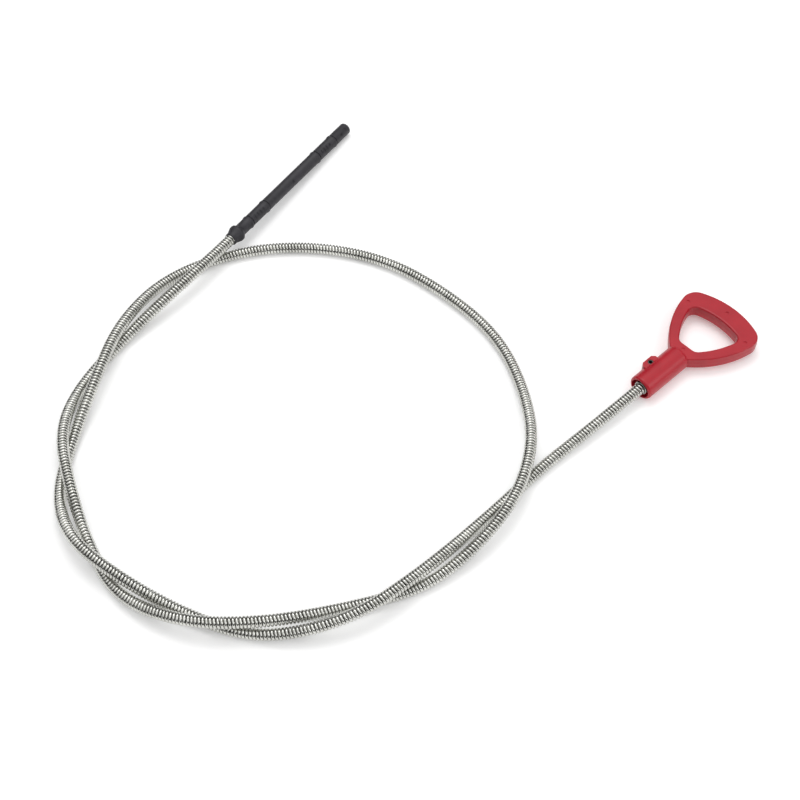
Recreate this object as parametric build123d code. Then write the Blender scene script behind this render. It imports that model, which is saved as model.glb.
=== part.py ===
"""Flexible dipstick tool: a finger-loop handle, a coil-spring shaft and a measuring tip.

Units are millimetres.  The origin is the centre of the handle's mouth, where the shaft
leaves it.  +X runs along the handle's neck towards the finger loop and +Z is up.  The
tool lies on a surface at z = -NECK_RADIUS, with its shaft wound once round into a ring.
"""
from build123d import *
import os
from math import cos, radians, sin, tan

os.makedirs("parts", exist_ok=True)

# ---- driving dimensions -------------------------------------------------------------
NECK_RADIUS = 5.6
NECK_LENGTH = 25.0
BORE_RADIUS = 3.6
BORE_DEPTH = 22.5
COUNTERBORE_RADIUS = 4.5
COUNTERBORE_DEPTH = 2.4
MOUTH_ROUNDING = 1.1
NECK_END_ROUNDING = 1.3

LOOP_THICKNESS = 6.0
LOOP_DRAFT = 3.0
LOOP_EDGE_ROUNDING = 0.7
LOOP_LENGTH_END = 60.9

PIN_X = 11.2
PIN_OFFSET = 4.4
PIN_RADIUS = 1.3
PIN_WALL = 0.45
PIN_LENGTH = 8.4
BOSS_HEIGHT = 8.6
BOSS_LENGTH = 8.0
BOSS_EDGE = 6.6

FERRULE_RADIUS = 3.55
FERRULE_START = 0.3
FERRULE_LENGTH = 21.2
NOSE_RADIUS = 3.1
NOSE_LENGTH = 2.2
GROOVE_WIDTH = 2.7
RUNNING_GAP = 0.05

SHAFT_DIAMETER = 5.2
COIL_WIRE = 1.34
CORE_DIAMETER = 2.3
SHAFT_SEAT = 15.0
FLOOR = -NECK_RADIUS
LYING = FLOOR + SHAFT_DIAMETER / 2
CROSSING = LYING + 6.5

TIP_LENGTH = 92.0
TIP_ROOT = Vector(-71.5, 181.6, 2.5)
TIP_HEADING = 13.3
TIP_DROP = 3.2
TIP_ROD_RADIUS = 2.85
TIP_RING_RADIUS = 3.1
TIP_RING_WIDTH = 0.9
TIP_RINGS = (13.5, 25.9, 66.3, 79.8)
TIP_FLANGE_RADIUS = 3.95
TIP_LIP_RADIUS = 2.95
TIP_END_ROUNDING = 1.0
TIP_SHAFT_SEAT = 6.8
TIP_APPROACH = 8.2
STOP_RADIUS = 2.0
STOP_START = 7.0
STOP_LENGTH = 13.0

# ---- route of the flexible shaft ----------------------------------------------------
tip_axis = Vector(
    cos(radians(TIP_HEADING)) * cos(radians(TIP_DROP)),
    sin(radians(TIP_HEADING)) * cos(radians(TIP_DROP)),
    -sin(radians(TIP_DROP)),
)

# Straight out of the handle, once round, then a second time round with the two
# strands twisted over and under each other, and into the tip.
ROUTE = [
    (SHAFT_SEAT, 0, 0),
    (-9, 0, 0),
    (-37, 1, -1.9),
    (-58, 2, LYING),
    (-90, 0, LYING),
    (-129, -3, CROSSING),
    (-164.5, 0.5, CROSSING),
    (-193.5, 21, LYING),
    (-207.5, 51, LYING),
    (-217, 77.5, CROSSING),
    (-220, 104, CROSSING),
    (-209, 128, LYING),
    (-189, 144.5, LYING),
    (-164.5, 159.5, CROSSING),
    (-137.5, 177, CROSSING),
    (-103, 188, LYING),
    (-69, 177, LYING),
    (-44, 157, LYING),
    (-26, 129, LYING),
    (-20, 96, LYING),
    (-21, 63, LYING),
    (-34, 34, LYING),
    (-56, 8, CROSSING),
    (-86, -7, CROSSING),
    (-127, -8, LYING),
    (-158, 7, LYING),
    (-188, 21.5, CROSSING),
    (-211, 43, CROSSING),
    (-221, 72, LYING),
    (-215, 99, LYING),
    (-205, 123, CROSSING),
    (-191.5, 148, CROSSING),
    (-169, 165.5, LYING),
    (-138.5, 173.5, LYING),
    (-108, 175, CROSSING),
]


def route_path(end_in_tip):
    """Straight runs joined by arcs as large as the runs allow, ending inside the tip."""
    points = [Vector(*point) for point in ROUTE]
    points += [TIP_ROOT - tip_axis * TIP_APPROACH, TIP_ROOT + tip_axis * end_in_tip]
    radii = []
    for before, corner, after in zip(points, points[1:], points[2:]):
        incoming = corner - before
        outgoing = after - corner
        turn = incoming.get_angle(outgoing)
        shorter = min(incoming.length, outgoing.length)
        radii.append(0.45 * shorter / tan(radians(turn / 2)))
    return FilletPolyline(*points, radius=radii), radii


def swept(section, path):
    """Carry a section, drawn flat, along a path from the path's start."""
    start = Plane(origin=path @ 0, z_dir=path % 0)
    return sweep(start * section, path=path)


def on_tip_axis(distance, radius, height):
    """A cylinder on the tip's axis that starts a distance from the tip's root."""
    base = Plane(origin=TIP_ROOT + tip_axis * distance, z_dir=tip_axis)
    return base * Cylinder(radius, height, align=(Align.CENTER, Align.CENTER, Align.MIN))


def along_x(start, radius, length):
    """A cylinder on the neck's axis that starts at a given x."""
    base = Plane(origin=(start, 0, 0), z_dir=(1, 0, 0))
    return base * Cylinder(radius, length, align=(Align.CENTER, Align.CENTER, Align.MIN))


# ---- flexible shaft -----------------------------------------------------------------
shaft_path, shaft_radii = route_path(TIP_SHAFT_SEAT)
core_path, core_radii = route_path(STOP_START + STOP_LENGTH)
print("shaft bend radii:", [round(radius) for radius in shaft_radii])
print("shaft length:", round(shaft_path.length, 1), "core length:", round(core_path.length, 1))

coil_section = Circle(SHAFT_DIAMETER / 2) - Circle(SHAFT_DIAMETER / 2 - COIL_WIRE)
coil_shaft = swept(coil_section, shaft_path)
core_cable = swept(Circle(CORE_DIAMETER / 2), core_path)
print("coil volume over section x length:", coil_shaft.volume / (coil_section.area * shaft_path.length))

# ---- handle -------------------------------------------------------------------------
def bowed_triangle(near_corner, side_middle, far_corner, far_x, near_rounding, far_rounding):
    """A triangle with bowed sides and rounded corners, symmetrical about X."""
    upper_side = ThreePointArc(near_corner, side_middle, far_corner)
    lower_side = upper_side.mirror(Plane.XZ)
    far_end = ThreePointArc(far_corner, (far_x, 0), (far_corner[0], -far_corner[1]))
    near_end = Line(near_corner, (near_corner[0], -near_corner[1]))
    face = make_face([upper_side, far_end, lower_side, near_end])
    near_vertices = face.vertices().group_by(Axis.X)[0]
    face = fillet(near_vertices, near_rounding)
    far_vertices = [
        vertex for vertex in face.vertices() if abs(vertex.X - far_corner[0]) < 1e-4
    ]
    return fillet(far_vertices, far_rounding)


def drafted_plate(outline, thickness, draft):
    """A plate about z = 0 whose walls lean in by the draft from its parting line."""
    upper = extrude(outline, amount=thickness / 2, taper=draft)
    return upper + upper.mirror(Plane.XY)


outer_outline = bowed_triangle((23.5, 3.8), (36.8, 14.8), (55.4, 19.8), LOOP_LENGTH_END, 1.0, 7.0)
hole_outline = bowed_triangle((30.1, 4.4), (38.5, 9.9), (48.9, 13.3), 51.5, 3.4, 3.4)
loop = drafted_plate(outer_outline, LOOP_THICKNESS, LOOP_DRAFT)
loop -= drafted_plate(hole_outline, LOOP_THICKNESS, -LOOP_DRAFT)
loop = fillet(loop.faces().filter_by(Axis.Z).edges(), LOOP_EDGE_ROUNDING)

neck = along_x(0, NECK_RADIUS, NECK_LENGTH)
neck = fillet(neck.edges().group_by(Axis.X)[-1], NECK_END_ROUNDING)
neck = fillet(neck.edges().group_by(Axis.X)[0], MOUTH_ROUNDING)

boss = Pos(PIN_X, BOSS_EDGE / 2, 0) * Box(BOSS_LENGTH, BOSS_EDGE, BOSS_HEIGHT)
boss_ends = boss.edges().filter_by(Axis.Z).group_by(Axis.Y)[-1]
boss = chamfer(boss_ends, 1.5)
boss = fillet(boss.faces().filter_by(Axis.Z).edges().group_by(Axis.Y)[-1], 0.4)

handle = loop + neck + boss
handle -= along_x(0, BORE_RADIUS, BORE_DEPTH)
handle -= along_x(0, COUNTERBORE_RADIUS, COUNTERBORE_DEPTH)
handle -= Pos(PIN_X, PIN_OFFSET, 0) * Cylinder(PIN_RADIUS, BOSS_HEIGHT)

# Shallow round marks left by the mould's ejector pins.
for mark_x, mark_y in ((56.4, 0.0), (49.2, 16.0), (49.2, -16.0), (27.4, 0.0)):
    handle -= Pos(mark_x, mark_y, LOOP_THICKNESS / 2) * Cylinder(0.8, 0.5)

# ---- swivel ferrule and lock pin ----------------------------------------------------
handle_ferrule = along_x(FERRULE_START + NOSE_LENGTH, FERRULE_RADIUS, FERRULE_LENGTH - NOSE_LENGTH)
handle_ferrule += along_x(FERRULE_START, NOSE_RADIUS, NOSE_LENGTH)
handle_ferrule = chamfer(handle_ferrule.edges().group_by(Axis.X)[-1], 0.5)
handle_ferrule = chamfer(handle_ferrule.edges().group_by(Axis.X)[0], 0.15)
handle_ferrule -= along_x(FERRULE_START, SHAFT_DIAMETER / 2, SHAFT_SEAT - FERRULE_START)
groove_floor = PIN_OFFSET - PIN_RADIUS - RUNNING_GAP
groove = along_x(PIN_X - GROOVE_WIDTH / 2, FERRULE_RADIUS + 1, GROOVE_WIDTH)
groove -= along_x(PIN_X - GROOVE_WIDTH / 2, groove_floor, GROOVE_WIDTH)
handle_ferrule -= groove

lock_pin = Cylinder(PIN_RADIUS, PIN_LENGTH)
lock_pin = chamfer(lock_pin.edges().group_by(Axis.Z)[-1], 0.2)
lock_pin = chamfer(lock_pin.edges().group_by(Axis.Z)[0], 0.2)
lock_pin -= Cylinder(PIN_RADIUS - PIN_WALL, PIN_LENGTH)
lock_pin -= Pos(0, PIN_RADIUS, 0) * Box(0.45, PIN_RADIUS * 2, PIN_LENGTH)
lock_pin = Pos(PIN_X, PIN_OFFSET, 0) * lock_pin

# ---- measuring tip ------------------------------------------------------------------
# Half-section of the tip, distance along its axis against radius.
tip_profile = [
    (0, 0),
    (0, TIP_LIP_RADIUS),
    (1.7, TIP_LIP_RADIUS),
    (4.2, TIP_FLANGE_RADIUS),
    (5.5, TIP_FLANGE_RADIUS),
    (7.0, TIP_ROD_RADIUS),
]
for ring in TIP_RINGS:
    tip_profile += [
        (ring - TIP_RING_WIDTH / 2 - 0.2, TIP_ROD_RADIUS),
        (ring - TIP_RING_WIDTH / 2, TIP_RING_RADIUS),
        (ring + TIP_RING_WIDTH / 2, TIP_RING_RADIUS),
        (ring + TIP_RING_WIDTH / 2 + 0.2, TIP_ROD_RADIUS),
    ]
tip_profile += [(TIP_LENGTH, TIP_ROD_RADIUS), (TIP_LENGTH, 0)]
half_section = make_face(Polyline(*tip_profile, close=True))
tip_blank = revolve(half_section, axis=Axis.X)
tip_blank = fillet(tip_blank.edges().group_by(Axis.X)[-1], TIP_END_ROUNDING)
across_tip = Vector(0, 0, 1).cross(tip_axis).normalized()
tip_frame = Plane(origin=TIP_ROOT, x_dir=tip_axis, z_dir=tip_axis.cross(across_tip))
measuring_tip = tip_frame * tip_blank
measuring_tip -= on_tip_axis(0, SHAFT_DIAMETER / 2, STOP_START)
measuring_tip -= on_tip_axis(STOP_START, STOP_RADIUS, STOP_LENGTH)

# Sleeve swaged on the core's end and held in the tip.
core_stop = on_tip_axis(STOP_START, STOP_RADIUS, STOP_LENGTH)
core_stop -= on_tip_axis(STOP_START, CORE_DIAMETER / 2, STOP_LENGTH)

# ---- one STEP file per piece --------------------------------------------------------
NODES = {
    "handle": handle,
    "lock_pin": lock_pin,
    "handle_ferrule": handle_ferrule,
    "coil_shaft": coil_shaft,
    "core_cable": core_cable,
    "core_stop": core_stop,
    "measuring_tip": measuring_tip,
}
for name, shape in NODES.items():
    export_step(shape, f"parts/{name}.step")
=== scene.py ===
"""Looks of a flexible dipstick tool: moulded handle, plated coil shaft, measuring tip.

Metres.  The origin is the centre of the handle's mouth, +X runs along the neck towards
the finger loop and +Z is up.  The tool lies on a surface under its neck.
"""
from math import cos, pi, radians, sin, tau

import bmesh
import bpy
from mathutils import Matrix, Vector


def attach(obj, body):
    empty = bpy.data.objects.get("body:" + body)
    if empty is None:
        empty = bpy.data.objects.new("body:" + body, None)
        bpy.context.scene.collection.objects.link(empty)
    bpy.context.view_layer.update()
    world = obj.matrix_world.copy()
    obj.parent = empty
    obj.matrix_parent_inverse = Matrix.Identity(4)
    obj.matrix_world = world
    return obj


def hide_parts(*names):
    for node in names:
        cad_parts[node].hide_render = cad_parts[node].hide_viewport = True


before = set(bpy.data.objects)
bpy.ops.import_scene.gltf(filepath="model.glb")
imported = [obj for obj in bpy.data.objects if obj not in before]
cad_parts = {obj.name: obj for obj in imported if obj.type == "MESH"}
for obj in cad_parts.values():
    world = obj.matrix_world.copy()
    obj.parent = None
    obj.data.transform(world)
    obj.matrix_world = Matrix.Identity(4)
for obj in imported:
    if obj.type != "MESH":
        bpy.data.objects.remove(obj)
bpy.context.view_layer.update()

MM = 0.001
FLOOR_Z = -5.6 * MM

SHAFT_DIAMETER = 5.2 * MM
WIRE_DIAMETER = 1.34 * MM
COIL_PITCH = 1.42 * MM
CORE_DIAMETER = 2.3 * MM
CORE_STRANDS = 6
STRAND_LAY = 18 * MM
ROUTE_STEPS = 24
COIL_STEPS_PER_TURN = 14
STRAND_STEPS_PER_TURN = 8

LYING = -3.0
CROSSING = 3.5
# The shaft's route in millimetres: out of the handle, once round, then round again with
# the two strands twisted over and under each other, and into the tip.
ROUTE = [
    (15, 0, 0),
    (-9, 0, 0),
    (-37, 1, -1.9),
    (-58, 2, LYING),
    (-90, 0, LYING),
    (-129, -3, CROSSING),
    (-164.5, 0.5, CROSSING),
    (-193.5, 21, LYING),
    (-207.5, 51, LYING),
    (-217, 77.5, CROSSING),
    (-220, 104, CROSSING),
    (-209, 128, LYING),
    (-189, 144.5, LYING),
    (-164.5, 159.5, CROSSING),
    (-137.5, 177, CROSSING),
    (-103, 188, LYING),
    (-69, 177, LYING),
    (-44, 157, LYING),
    (-26, 129, LYING),
    (-20, 96, LYING),
    (-21, 63, LYING),
    (-34, 34, LYING),
    (-56, 8, CROSSING),
    (-86, -7, CROSSING),
    (-127, -8, LYING),
    (-158, 7, LYING),
    (-188, 21.5, CROSSING),
    (-211, 43, CROSSING),
    (-221, 72, LYING),
    (-215, 99, LYING),
    (-205, 123, CROSSING),
    (-191.5, 148, CROSSING),
    (-169, 165.5, LYING),
    (-138.5, 173.5, LYING),
    (-108, 175, CROSSING),
]

# The tip's axis starts at its root, where the shaft enters it.
TIP_ROOT = Vector((-71.5, 181.6, 2.5))
TIP_HEADING = radians(13.3)
TIP_DROP = radians(3.2)
TIP_AXIS = Vector(
    (cos(TIP_HEADING) * cos(TIP_DROP), sin(TIP_HEADING) * cos(TIP_DROP), -sin(TIP_DROP))
)
# The shaft comes in straight along the tip's axis.  The coil ends in the tip's socket,
# and the core goes on to the far end of its stop.
TIP_APPROACH = 8.2
COIL_SEAT = 6.8
CORE_SEAT = 20
ROUTE.append(TIP_ROOT - TIP_AXIS * TIP_APPROACH)
COIL_END = TIP_ROOT + TIP_AXIS * COIL_SEAT
CORE_END = TIP_ROOT + TIP_AXIS * CORE_SEAT

TIP_LENGTH = 92.0
TIP_ROD_RADIUS = 2.85
TIP_RING_RADIUS = 3.1
TIP_RINGS = (13.5, 25.9, 66.3, 79.8)
TIP_LIP_RADIUS = 2.95
TIP_FLANGE_RADIUS = 3.95
TIP_END_ROUNDING = 1.0
TIP_END_STEPS = 8
TIP_SIDES = 56
TIP_CREASE = radians(35)
MARK_DEPTH = 0.25

# The view's middle is on the floor.  Azimuths are degrees round from -Y.
VIEW_MIDDLE = Vector((-74.3, 68.3, -5.6)) * MM
VIEW_AZIMUTH = -43.6
VIEW_ELEVATION = 53.0
VIEW_DISTANCE = 716.2 * MM
LENS = 76.2
SENSOR_WIDTH = 36.0
FLOOR_HALF_WIDTH = 3.0
SOFTBOX_DISTANCE = 1.2
SOFTBOX_SIZE = 0.5


# ---- colours and materials -----------------------------------------------------------
def srgb(hex_colour):
    """A linear RGBA colour from an sRGB hex string."""
    channels = [int(hex_colour[i : i + 2], 16) / 255 for i in (0, 2, 4)]
    linear = [c / 12.92 if c <= 0.04045 else ((c + 0.055) / 1.055) ** 2.4 for c in channels]
    return (*linear, 1.0)


def node(tree, kind, settings=None, inputs=None):
    """Add a node; inputs maps a socket's name to a value or to a socket to link from."""
    made = tree.nodes.new(kind)
    for key, value in (settings or {}).items():
        setattr(made, key, value)
    for key, value in (inputs or {}).items():
        if isinstance(value, bpy.types.NodeSocket):
            tree.links.new(value, made.inputs[key])
        else:
            made.inputs[key].default_value = value
    return made


def new_material(name):
    """A material with its node tree, its shader and coordinates that follow the piece."""
    material = bpy.data.materials.new(name)
    material.use_nodes = True
    tree = material.node_tree
    shader = tree.nodes["Principled BSDF"]
    coordinates = node(tree, "ShaderNodeTexCoord").outputs["Object"]
    return material, tree, shader, coordinates


def ramp(tree, factor, stops):
    """A colour ramp with the given (position, colour) stops."""
    made = node(tree, "ShaderNodeValToRGB", inputs={"Fac": factor})
    elements = made.color_ramp.elements
    while len(elements) < len(stops):
        elements.new(0.5)
    for element, (position, colour) in zip(elements, stops):
        element.position = position
        element.color = colour
    return made.outputs["Color"]


def grey(value):
    return (value, value, value, 1.0)


def add_bump(tree, shader, height, strength, depth):
    """Grain too fine to model, with its depth in metres."""
    bump = node(
        tree,
        "ShaderNodeBump",
        inputs={"Strength": strength, "Distance": depth, "Height": height},
    )
    tree.links.new(bump.outputs["Normal"], shader.inputs["Normal"])


def nickel_plated_spring_wire():
    """Drawn spring wire, bright nickel plated: a clean mirror with fine draw lines."""
    material, tree, shader, at = new_material("nickel_plated_spring_wire")
    handling = node(tree, "ShaderNodeTexNoise", inputs={"Vector": at, "Scale": 90.0, "Detail": 3.0})
    tone = ramp(tree, handling.outputs["Fac"], [(0.3, srgb("bdbdb8")), (0.7, srgb("dadad5"))])
    rough = ramp(tree, handling.outputs["Fac"], [(0.3, grey(0.14)), (0.75, grey(0.22))])
    grain = node(tree, "ShaderNodeTexNoise", inputs={"Vector": at, "Scale": 2500.0})
    add_bump(tree, shader, grain.outputs["Fac"], 0.15, 0.02 * MM)
    tree.links.new(tone, shader.inputs["Base Color"])
    tree.links.new(rough, shader.inputs["Roughness"])
    shader.inputs["Metallic"].default_value = 1.0
    return material


def galvanised_wire_rope():
    """Stranded galvanised wire: dull, dark grey zinc with lighter and darker spangle at random."""
    material, tree, shader, at = new_material("galvanised_wire_rope")
    spangle = node(tree, "ShaderNodeTexNoise", inputs={"Vector": at, "Scale": 900.0})
    tone = ramp(tree, spangle.outputs["Fac"], [(0.35, srgb("3c3b38")), (0.7, srgb("75746f"))])
    tree.links.new(tone, shader.inputs["Base Color"])
    shader.inputs["Metallic"].default_value = 0.85
    shader.inputs["Roughness"].default_value = 0.5
    return material


def zinc_plated_steel():
    """Turned steel with bright zinc plating: fine rings round the turning axis."""
    material, tree, shader, at = new_material("zinc_plated_steel")
    lines = node(
        tree,
        "ShaderNodeTexWave",
        {"bands_direction": "X"},
        {"Vector": at, "Scale": 900.0, "Distortion": 0.6},
    )
    tone = ramp(tree, lines.outputs["Color"], [(0.0, srgb("a9a9a4")), (1.0, srgb("c6c6c1"))])
    add_bump(tree, shader, lines.outputs["Color"], 0.25, 0.02 * MM)
    tree.links.new(tone, shader.inputs["Base Color"])
    shader.inputs["Metallic"].default_value = 1.0
    shader.inputs["Roughness"].default_value = 0.34
    return material


def spring_pin_steel():
    """Rolled spring steel strip, oil blackened: grey with a dark bore."""
    material, tree, shader, at = new_material("spring_pin_steel")
    scuff = node(tree, "ShaderNodeTexNoise", inputs={"Vector": at, "Scale": 1800.0, "Detail": 4.0})
    tone = ramp(tree, scuff.outputs["Fac"], [(0.35, srgb("474d49")), (0.7, srgb("757d78"))])
    tree.links.new(tone, shader.inputs["Base Color"])
    shader.inputs["Metallic"].default_value = 0.9
    shader.inputs["Roughness"].default_value = 0.38
    return material


def moulded_red_nylon():
    """Injection-moulded red nylon: a soft sheen, faint flow mottling and a fine grain."""
    material, tree, shader, at = new_material("moulded_red_nylon")
    flow = node(tree, "ShaderNodeTexNoise", inputs={"Vector": at, "Scale": 120.0, "Detail": 4.0})
    tone = ramp(tree, flow.outputs["Fac"], [(0.3, srgb("a81425")), (0.7, srgb("b41a2a"))])
    rough = ramp(tree, flow.outputs["Fac"], [(0.3, grey(0.3)), (0.7, grey(0.38))])
    grain = node(tree, "ShaderNodeTexNoise", inputs={"Vector": at, "Scale": 2200.0, "Detail": 2.0})
    add_bump(tree, shader, grain.outputs["Fac"], 0.3, 0.03 * MM)
    tree.links.new(tone, shader.inputs["Base Color"])
    tree.links.new(rough, shader.inputs["Roughness"])
    shader.inputs["IOR"].default_value = 1.46
    return material


def moulded_charcoal_nylon():
    """Glass-filled charcoal nylon: matt, a little mottled, with a fibrous fine grain."""
    material, tree, shader, at = new_material("moulded_charcoal_nylon")
    mottle = node(tree, "ShaderNodeTexNoise", inputs={"Vector": at, "Scale": 350.0, "Detail": 5.0})
    tone = ramp(tree, mottle.outputs["Fac"], [(0.3, srgb("1e1d22")), (0.7, srgb("2a282f"))])
    grain = node(tree, "ShaderNodeTexNoise", inputs={"Vector": at, "Scale": 2600.0, "Detail": 3.0})
    add_bump(tree, shader, grain.outputs["Fac"], 0.45, 0.04 * MM)
    tree.links.new(tone, shader.inputs["Base Color"])
    shader.inputs["Roughness"].default_value = 0.55
    shader.inputs["IOR"].default_value = 1.53
    return material


def pale_paper():
    """White sweep, lit a little from behind so that it looks plain white."""
    material, tree, shader, at = new_material("pale_paper")
    shader.inputs["Base Color"].default_value = srgb("f4f4f4")
    shader.inputs["Roughness"].default_value = 0.9
    shader.inputs["Emission Color"].default_value = srgb("ffffff")
    shader.inputs["Emission Strength"].default_value = 0.22
    return material


def finish_node(name, material):
    """Give a carried-over CAD piece its finish."""
    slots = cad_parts[name].data.materials
    slots.clear()
    slots.append(material)


# ---- the shaft's line and what is wound along it -------------------------------------
def route_line(name, points):
    """The smooth line of a route, read from its NURBS spline."""
    curve = bpy.data.curves.new(name, "CURVE")
    curve.dimensions = "3D"
    spline = curve.splines.new("NURBS")
    spline.points.add(len(points) - 1)
    for point, place in zip(spline.points, points):
        point.co = (*(Vector(place) * MM), 1.0)
    spline.order_u = 3
    spline.use_endpoint_u = True
    spline.resolution_u = ROUTE_STEPS
    holder = bpy.data.objects.new(name, curve)
    mesh = bpy.data.meshes.new_from_object(holder)
    line = [vertex.co.copy() for vertex in mesh.vertices]
    bpy.data.objects.remove(holder)
    bpy.data.meshes.remove(mesh)
    return line


class Follower:
    """Places and cross directions at any length along a line, with no twist between them."""

    def __init__(self, line):
        self.line = line
        self.lengths = [0.0]
        for a, b in zip(line, line[1:]):
            self.lengths.append(self.lengths[-1] + (b - a).length)
        tangents = [(b - a).normalized() for a, b in zip(line, line[1:])]
        tangents.append(tangents[-1])
        side = tangents[0].cross(Vector((0, 0, 1))).normalized()
        self.sides = [side]
        for before, after in zip(tangents, tangents[1:]):
            side = before.rotation_difference(after) @ side
            side = (side - after * side.dot(after)).normalized()
            self.sides.append(side)
        self.tangents = tangents
        self.last = 0

    def total(self):
        return self.lengths[-1]

    def at(self, length):
        while self.last < len(self.line) - 2 and self.lengths[self.last + 1] < length:
            self.last += 1
        i = self.last
        share = (length - self.lengths[i]) / (self.lengths[i + 1] - self.lengths[i])
        place = self.line[i].lerp(self.line[i + 1], share)
        side = self.sides[i].lerp(self.sides[i + 1], share).normalized()
        tangent = self.tangents[i].lerp(self.tangents[i + 1], share).normalized()
        return place, side, tangent.cross(side)


def wound_wire(line, radius, pitch, steps_per_turn, start_angle=0.0):
    """Points of one wire wound round a line."""
    follower = Follower(line)
    turns = follower.total() / pitch
    count = int(turns * steps_per_turn)
    points = []
    for i in range(count + 1):
        length = follower.total() * i / count
        angle = start_angle + tau * length / pitch
        place, side, up = follower.at(length)
        points.append(place + (side * cos(angle) + up * sin(angle)) * radius)
    return points


def wires_to_mesh(name, wires, wire_radius, bevel_resolution, material):
    """Round wires along lists of points, as one mesh piece."""
    curve = bpy.data.curves.new(name, "CURVE")
    curve.dimensions = "3D"
    curve.bevel_depth = wire_radius
    curve.bevel_resolution = bevel_resolution
    curve.use_fill_caps = True
    for points in wires:
        spline = curve.splines.new("POLY")
        spline.points.add(len(points) - 1)
        for point, place in zip(spline.points, points):
            point.co = (*place, 1.0)
    holder = bpy.data.objects.new(name, curve)
    mesh = bpy.data.meshes.new_from_object(holder)
    mesh.name = name
    bpy.data.objects.remove(holder)
    return add_piece(name, mesh, material)


def add_piece(name, mesh, material):
    """Put a mesh in the scene as a smooth-shaded piece of one material."""
    piece = bpy.data.objects.new(name, mesh)
    bpy.context.scene.collection.objects.link(piece)
    mesh.materials.clear()
    mesh.materials.append(material)
    for polygon in mesh.polygons:
        polygon.use_smooth = True
    return piece


def make_shaft():
    """The wound coil and the stranded core inside it, each fixed to the shaft's body in place of
    its CAD piece.
    """
    coil_line = route_line("coil_route", ROUTE + [COIL_END])
    core_line = route_line("core_route", ROUTE + [CORE_END])
    wire_radius = WIRE_DIAMETER / 2
    coil_points = wound_wire(
        coil_line, SHAFT_DIAMETER / 2 - wire_radius, COIL_PITCH, COIL_STEPS_PER_TURN
    )
    coil = wires_to_mesh("wound_coil", [coil_points], wire_radius, 1, nickel_plated_spring_wire())
    # Strands laid round a middle one are a third as thick as the rope.
    strand_radius = CORE_DIAMETER / 3 / 2
    strands = [
        wound_wire(
            core_line,
            strand_radius * 2,
            STRAND_LAY,
            STRAND_STEPS_PER_TURN,
            tau * k / CORE_STRANDS,
        )
        for k in range(CORE_STRANDS)
    ]
    core = wires_to_mesh("stranded_core", strands, strand_radius, 0, galvanised_wire_rope())
    for piece, cad_node, cord_slot in (
        (coil, "coil_shaft", "coil_steel"),
        (core, "core_cable", "cable_steel"),
    ):
        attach(piece, "shaft")
        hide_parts(cad_node)


def tip_outline():
    """Half-section of the tip in millimetres: distance along its axis against radius."""
    points = [
        (0.0, 0.0),
        (0.0, TIP_LIP_RADIUS - 0.25),
        (0.2, TIP_LIP_RADIUS),
        (1.5, TIP_LIP_RADIUS),
        (1.9, TIP_LIP_RADIUS + 0.1),
        (4.2, TIP_FLANGE_RADIUS - 0.05),
        (4.3, TIP_FLANGE_RADIUS),
        (5.5, TIP_FLANGE_RADIUS),
        (5.6, TIP_FLANGE_RADIUS - 0.05),
        (6.8, TIP_ROD_RADIUS + 0.1),
        (7.2, TIP_ROD_RADIUS),
    ]
    for ring in TIP_RINGS:
        # Each ring is a rounded bead with a fine groove in front of it.
        points += [
            (ring - 0.75, TIP_ROD_RADIUS),
            (ring - 0.45, TIP_RING_RADIUS - 0.04),
            (ring - 0.2, TIP_RING_RADIUS),
            (ring + 0.25, TIP_RING_RADIUS),
            (ring + 0.5, TIP_RING_RADIUS - 0.05),
            (ring + 0.6, TIP_ROD_RADIUS - 0.3),
            (ring + 1.05, TIP_ROD_RADIUS - 0.3),
            (ring + 1.15, TIP_ROD_RADIUS),
        ]
    for step in range(TIP_END_STEPS + 1):
        angle = step / TIP_END_STEPS * pi / 2
        along = TIP_LENGTH - TIP_END_ROUNDING + TIP_END_ROUNDING * sin(angle)
        radius = TIP_ROD_RADIUS - TIP_END_ROUNDING + TIP_END_ROUNDING * cos(angle)
        points.append((along, radius))
    points.append((TIP_LENGTH, 0.0))
    return points


def make_tip():
    """Turned body of the tip, with its level bars, ejector marks and end notches."""
    shape = bmesh.new()
    rim = [shape.verts.new((x * MM, r * MM, 0)) for x, r in tip_outline()]
    for a, b in zip(rim, rim[1:]):
        shape.edges.new((a, b))
    bmesh.ops.spin(
        shape,
        geom=shape.verts[:] + shape.edges[:],
        cent=(0, 0, 0),
        axis=(1, 0, 0),
        angle=tau,
        steps=TIP_SIDES,
        use_merge=True,
    )
    bmesh.ops.remove_doubles(shape, verts=shape.verts, dist=0.001 * MM)
    bmesh.ops.recalc_face_normals(shape, faces=shape.faces)
    for edge in shape.edges:
        edge.smooth = edge.calc_face_angle(0) < TIP_CREASE
    mesh = bpy.data.meshes.new("ringed_tip")
    shape.to_mesh(mesh)
    shape.free()
    tip = add_piece("ringed_tip", mesh, moulded_charcoal_nylon())
    cut_marks(tip)
    across = Vector((0, 0, 1)).cross(TIP_AXIS).normalized()
    turn = Matrix((TIP_AXIS, across, TIP_AXIS.cross(across))).transposed().to_4x4()
    mesh.transform(Matrix.Translation(TIP_ROOT * MM) @ turn)
    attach(tip, "shaft")
    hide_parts("measuring_tip")


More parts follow.
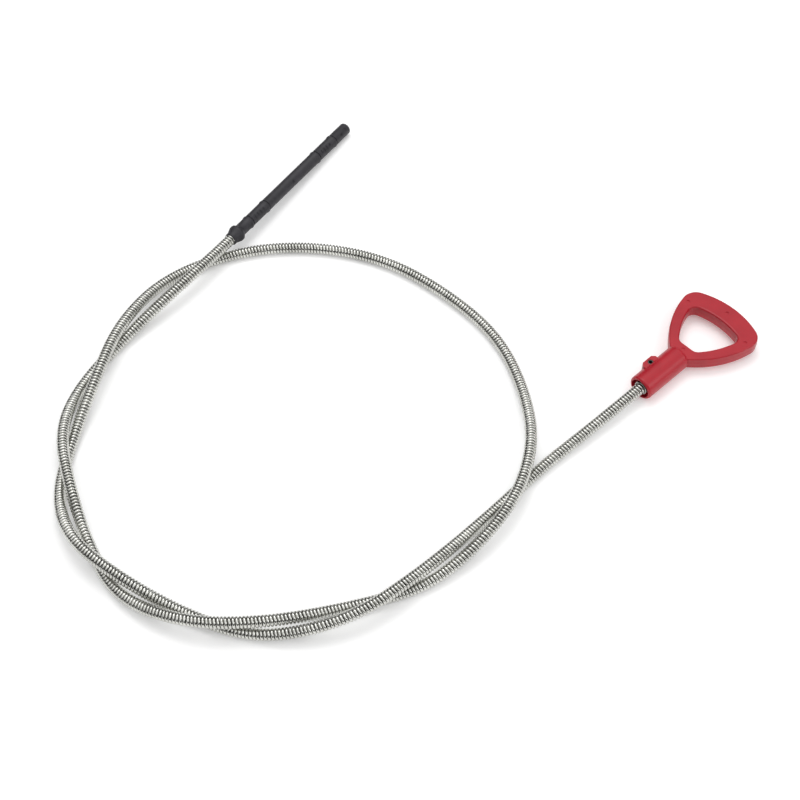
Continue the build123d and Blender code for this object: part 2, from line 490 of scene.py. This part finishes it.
def cut_marks(tip):
    """Sink small marks into the tip's side."""
    # Distance along the axis, degrees round it from straight up, length and width: first
    # the ejector mark and end notches, then four bars between each pair of rings.
    marks = [(45.6, 52, 1.2, 1.1), (84.9, 50, 1.2, 1.1), (88.3, 30, 1.9, 1.2)]
    for first_ring in (TIP_RINGS[0], TIP_RINGS[2]):
        marks += [(first_ring + offset, 40, 0.6, 2.8) for offset in (3.2, 5.2, 7.2)]
        marks += [(first_ring + 9.4, 40, 0.6, 1.5)]
    shape = bmesh.new()
    for distance, angle, length, width in marks:
        place = (
            Matrix.Translation((distance * MM, 0, 0))
            @ Matrix.Rotation(radians(angle), 4, "X")
            @ Matrix.Translation((0, 0, TIP_ROD_RADIUS * MM))
        )
        made = bmesh.ops.create_cube(shape, size=1.0)
        size = Matrix.Diagonal((length * MM, width * MM, 2 * MARK_DEPTH * MM, 1.0))
        bmesh.ops.transform(shape, matrix=place @ size, verts=made["verts"])
    bmesh.ops.recalc_face_normals(shape, faces=shape.faces)
    mesh = bpy.data.meshes.new("marks")
    shape.to_mesh(mesh)
    shape.free()
    cutter = bpy.data.objects.new("marks", mesh)
    bpy.context.scene.collection.objects.link(cutter)
    cut = tip.modifiers.new("marks", "BOOLEAN")
    cut.operation = "DIFFERENCE"
    cut.solver = "EXACT"
    cut.object = cutter
    bpy.context.view_layer.update()
    evaluated = tip.evaluated_get(bpy.context.evaluated_depsgraph_get())
    carved = bpy.data.meshes.new_from_object(evaluated)
    tip.modifiers.remove(cut)
    tip.data.clear_geometry()
    shape = bmesh.new()
    shape.from_mesh(carved)
    shape.to_mesh(tip.data)
    shape.free()
    bpy.data.objects.remove(cutter)
    bpy.data.meshes.remove(carved)


make_shaft()
make_tip()
finish_node("handle", moulded_red_nylon())
finish_node("lock_pin", spring_pin_steel())
ferrule_finish = zinc_plated_steel()
finish_node("handle_ferrule", ferrule_finish)
finish_node("core_stop", ferrule_finish)


# ---- floor, light and camera ---------------------------------------------------------
def make_floor():
    """Plain pale surface that the tool lies on."""
    shape = bmesh.new()
    bmesh.ops.create_grid(shape, x_segments=1, y_segments=1, size=FLOOR_HALF_WIDTH)
    mesh = bpy.data.meshes.new("floor")
    shape.to_mesh(mesh)
    shape.free()
    mesh.transform(Matrix.Translation((0, 0, FLOOR_Z)))
    floor = bpy.data.objects.new("floor", mesh)
    bpy.context.scene.collection.objects.link(floor)
    mesh.materials.append(pale_paper())


def soft_light(name, azimuth, elevation, power):
    """A square soft box that looks at the middle of the tool."""
    light = bpy.data.lights.new(name, "AREA")
    light.shape = "SQUARE"
    light.size = SOFTBOX_SIZE
    light.energy = power
    lamp = bpy.data.objects.new(name, light)
    bpy.context.scene.collection.objects.link(lamp)
    place_towards(lamp, azimuth, elevation, SOFTBOX_DISTANCE)


def place_towards(thing, azimuth, elevation, distance):
    """Stand a light or camera off the view's middle, looking at it."""
    a, e = radians(azimuth), radians(elevation)
    back = Vector((sin(a) * cos(e), -cos(a) * cos(e), sin(e)))
    thing.location = VIEW_MIDDLE + back * distance
    thing.rotation_mode = "QUATERNION"
    thing.rotation_quaternion = (-back).to_track_quat("-Z", "Y")


def make_studio_walls():
    """Surroundings of the studio: bright high up and dark from eye level down."""
    world = bpy.data.worlds.new("studio")
    world.use_nodes = True
    tree = world.node_tree
    background = tree.nodes["Background"]
    direction = node(tree, "ShaderNodeTexCoord").outputs["Generated"]
    parts = node(tree, "ShaderNodeSeparateXYZ", inputs={"Vector": direction})
    tone = ramp(
        tree,
        parts.outputs["Z"],
        [(0.0, grey(0.03)), (0.42, grey(0.05)), (0.64, grey(0.95)), (1.0, grey(1.25))],
    )
    # Seen directly the walls are white; only reflections pick up the darker tones.
    rays = node(tree, "ShaderNodeLightPath")
    seen = node(
        tree,
        "ShaderNodeMath",
        {"operation": "MAXIMUM"},
        {0: tone, 1: rays.outputs["Is Camera Ray"]},
    )
    tree.links.new(seen.outputs["Value"], background.inputs["Color"])
    background.inputs["Strength"].default_value = 1.0
    bpy.context.scene.world = world


def make_camera():
    """Long-lens camera that has the whole tool in view."""
    camera_data = bpy.data.cameras.new("camera")
    camera_data.lens = LENS
    camera_data.sensor_width = SENSOR_WIDTH
    camera = bpy.data.objects.new("camera", camera_data)
    bpy.context.scene.collection.objects.link(camera)
    bpy.context.scene.camera = camera
    place_towards(camera, VIEW_AZIMUTH, VIEW_ELEVATION, VIEW_DISTANCE)


make_floor()
make_camera()
soft_light("overhead_softbox", azimuth=VIEW_AZIMUTH + 190, elevation=70.0, power=3.0)
soft_light("right_softbox", azimuth=VIEW_AZIMUTH + 72, elevation=24.0, power=2.4)
make_studio_walls()
bpy.context.scene.view_settings.view_transform = "Standard"
